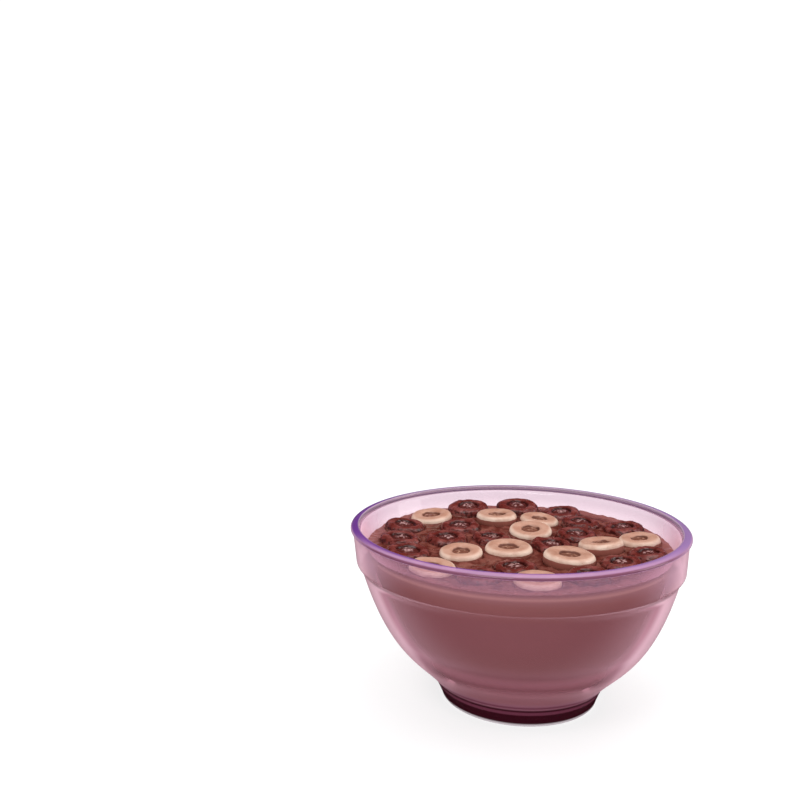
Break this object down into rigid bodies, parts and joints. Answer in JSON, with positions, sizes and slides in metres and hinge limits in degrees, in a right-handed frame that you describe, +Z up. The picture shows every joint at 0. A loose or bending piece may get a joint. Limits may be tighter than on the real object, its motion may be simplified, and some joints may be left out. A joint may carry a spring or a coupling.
{
  "type": "toy bowl of cereal",
  "caption": "Clear tinted toy bowl filled with solid make-believe chocolate milk, with light and dark ring-shaped cereal pieces set in its surface.",
  "frame": {"origin": "centre of the foot, on the surface that the bowl stands on", "axes": "+Z up along the bowl's axis, +X to the right and +Y away from the eater"},
  "size_m": [0.1, 0.1, 0.0516],
  "materials": {
    "clear_tinted_plastic": "clear pink-violet moulded plastic, glossy",
    "milk_filling": "opaque mauve-brown cast filling, satin gloss",
    "light_cereal": "tan painted top on brown sides, satin",
    "dark_cereal": "dark plum-brown, glossy and pitted"
  },
  "bodies": {
    "root": {"bowl": "clear_tinted_plastic", "milk": "milk_filling", "light_loop_01": "light_cereal", "light_loop_02": "light_cereal", "light_loop_03": "light_cereal", "light_loop_04": "light_cereal", "light_loop_05": "light_cereal", "light_loop_06": "light_cereal", "light_loop_07": "light_cereal", "light_loop_08": "light_cereal", "light_loop_09": "light_cereal", "light_loop_10": "light_cereal", "light_loop_11": "light_cereal", "dark_loop_01": "dark_cereal", "dark_loop_02": "dark_cereal", "dark_loop_03": "dark_cereal", "dark_loop_04": "dark_cereal", "dark_loop_05": "dark_cereal", "dark_loop_06": "dark_cereal", "dark_loop_07": "dark_cereal", "dark_loop_08": "dark_cereal", "dark_loop_09": "dark_cereal", "dark_loop_10": "dark_cereal", "dark_loop_11": "dark_cereal", "dark_loop_12": "dark_cereal", "dark_loop_13": "dark_cereal", "dark_loop_14": "dark_cereal", "dark_loop_15": "dark_cereal", "dark_loop_16": "dark_cereal", "dark_loop_17": "dark_cereal", "dark_loop_18": "dark_cereal"}
  },
  "joints": []
}
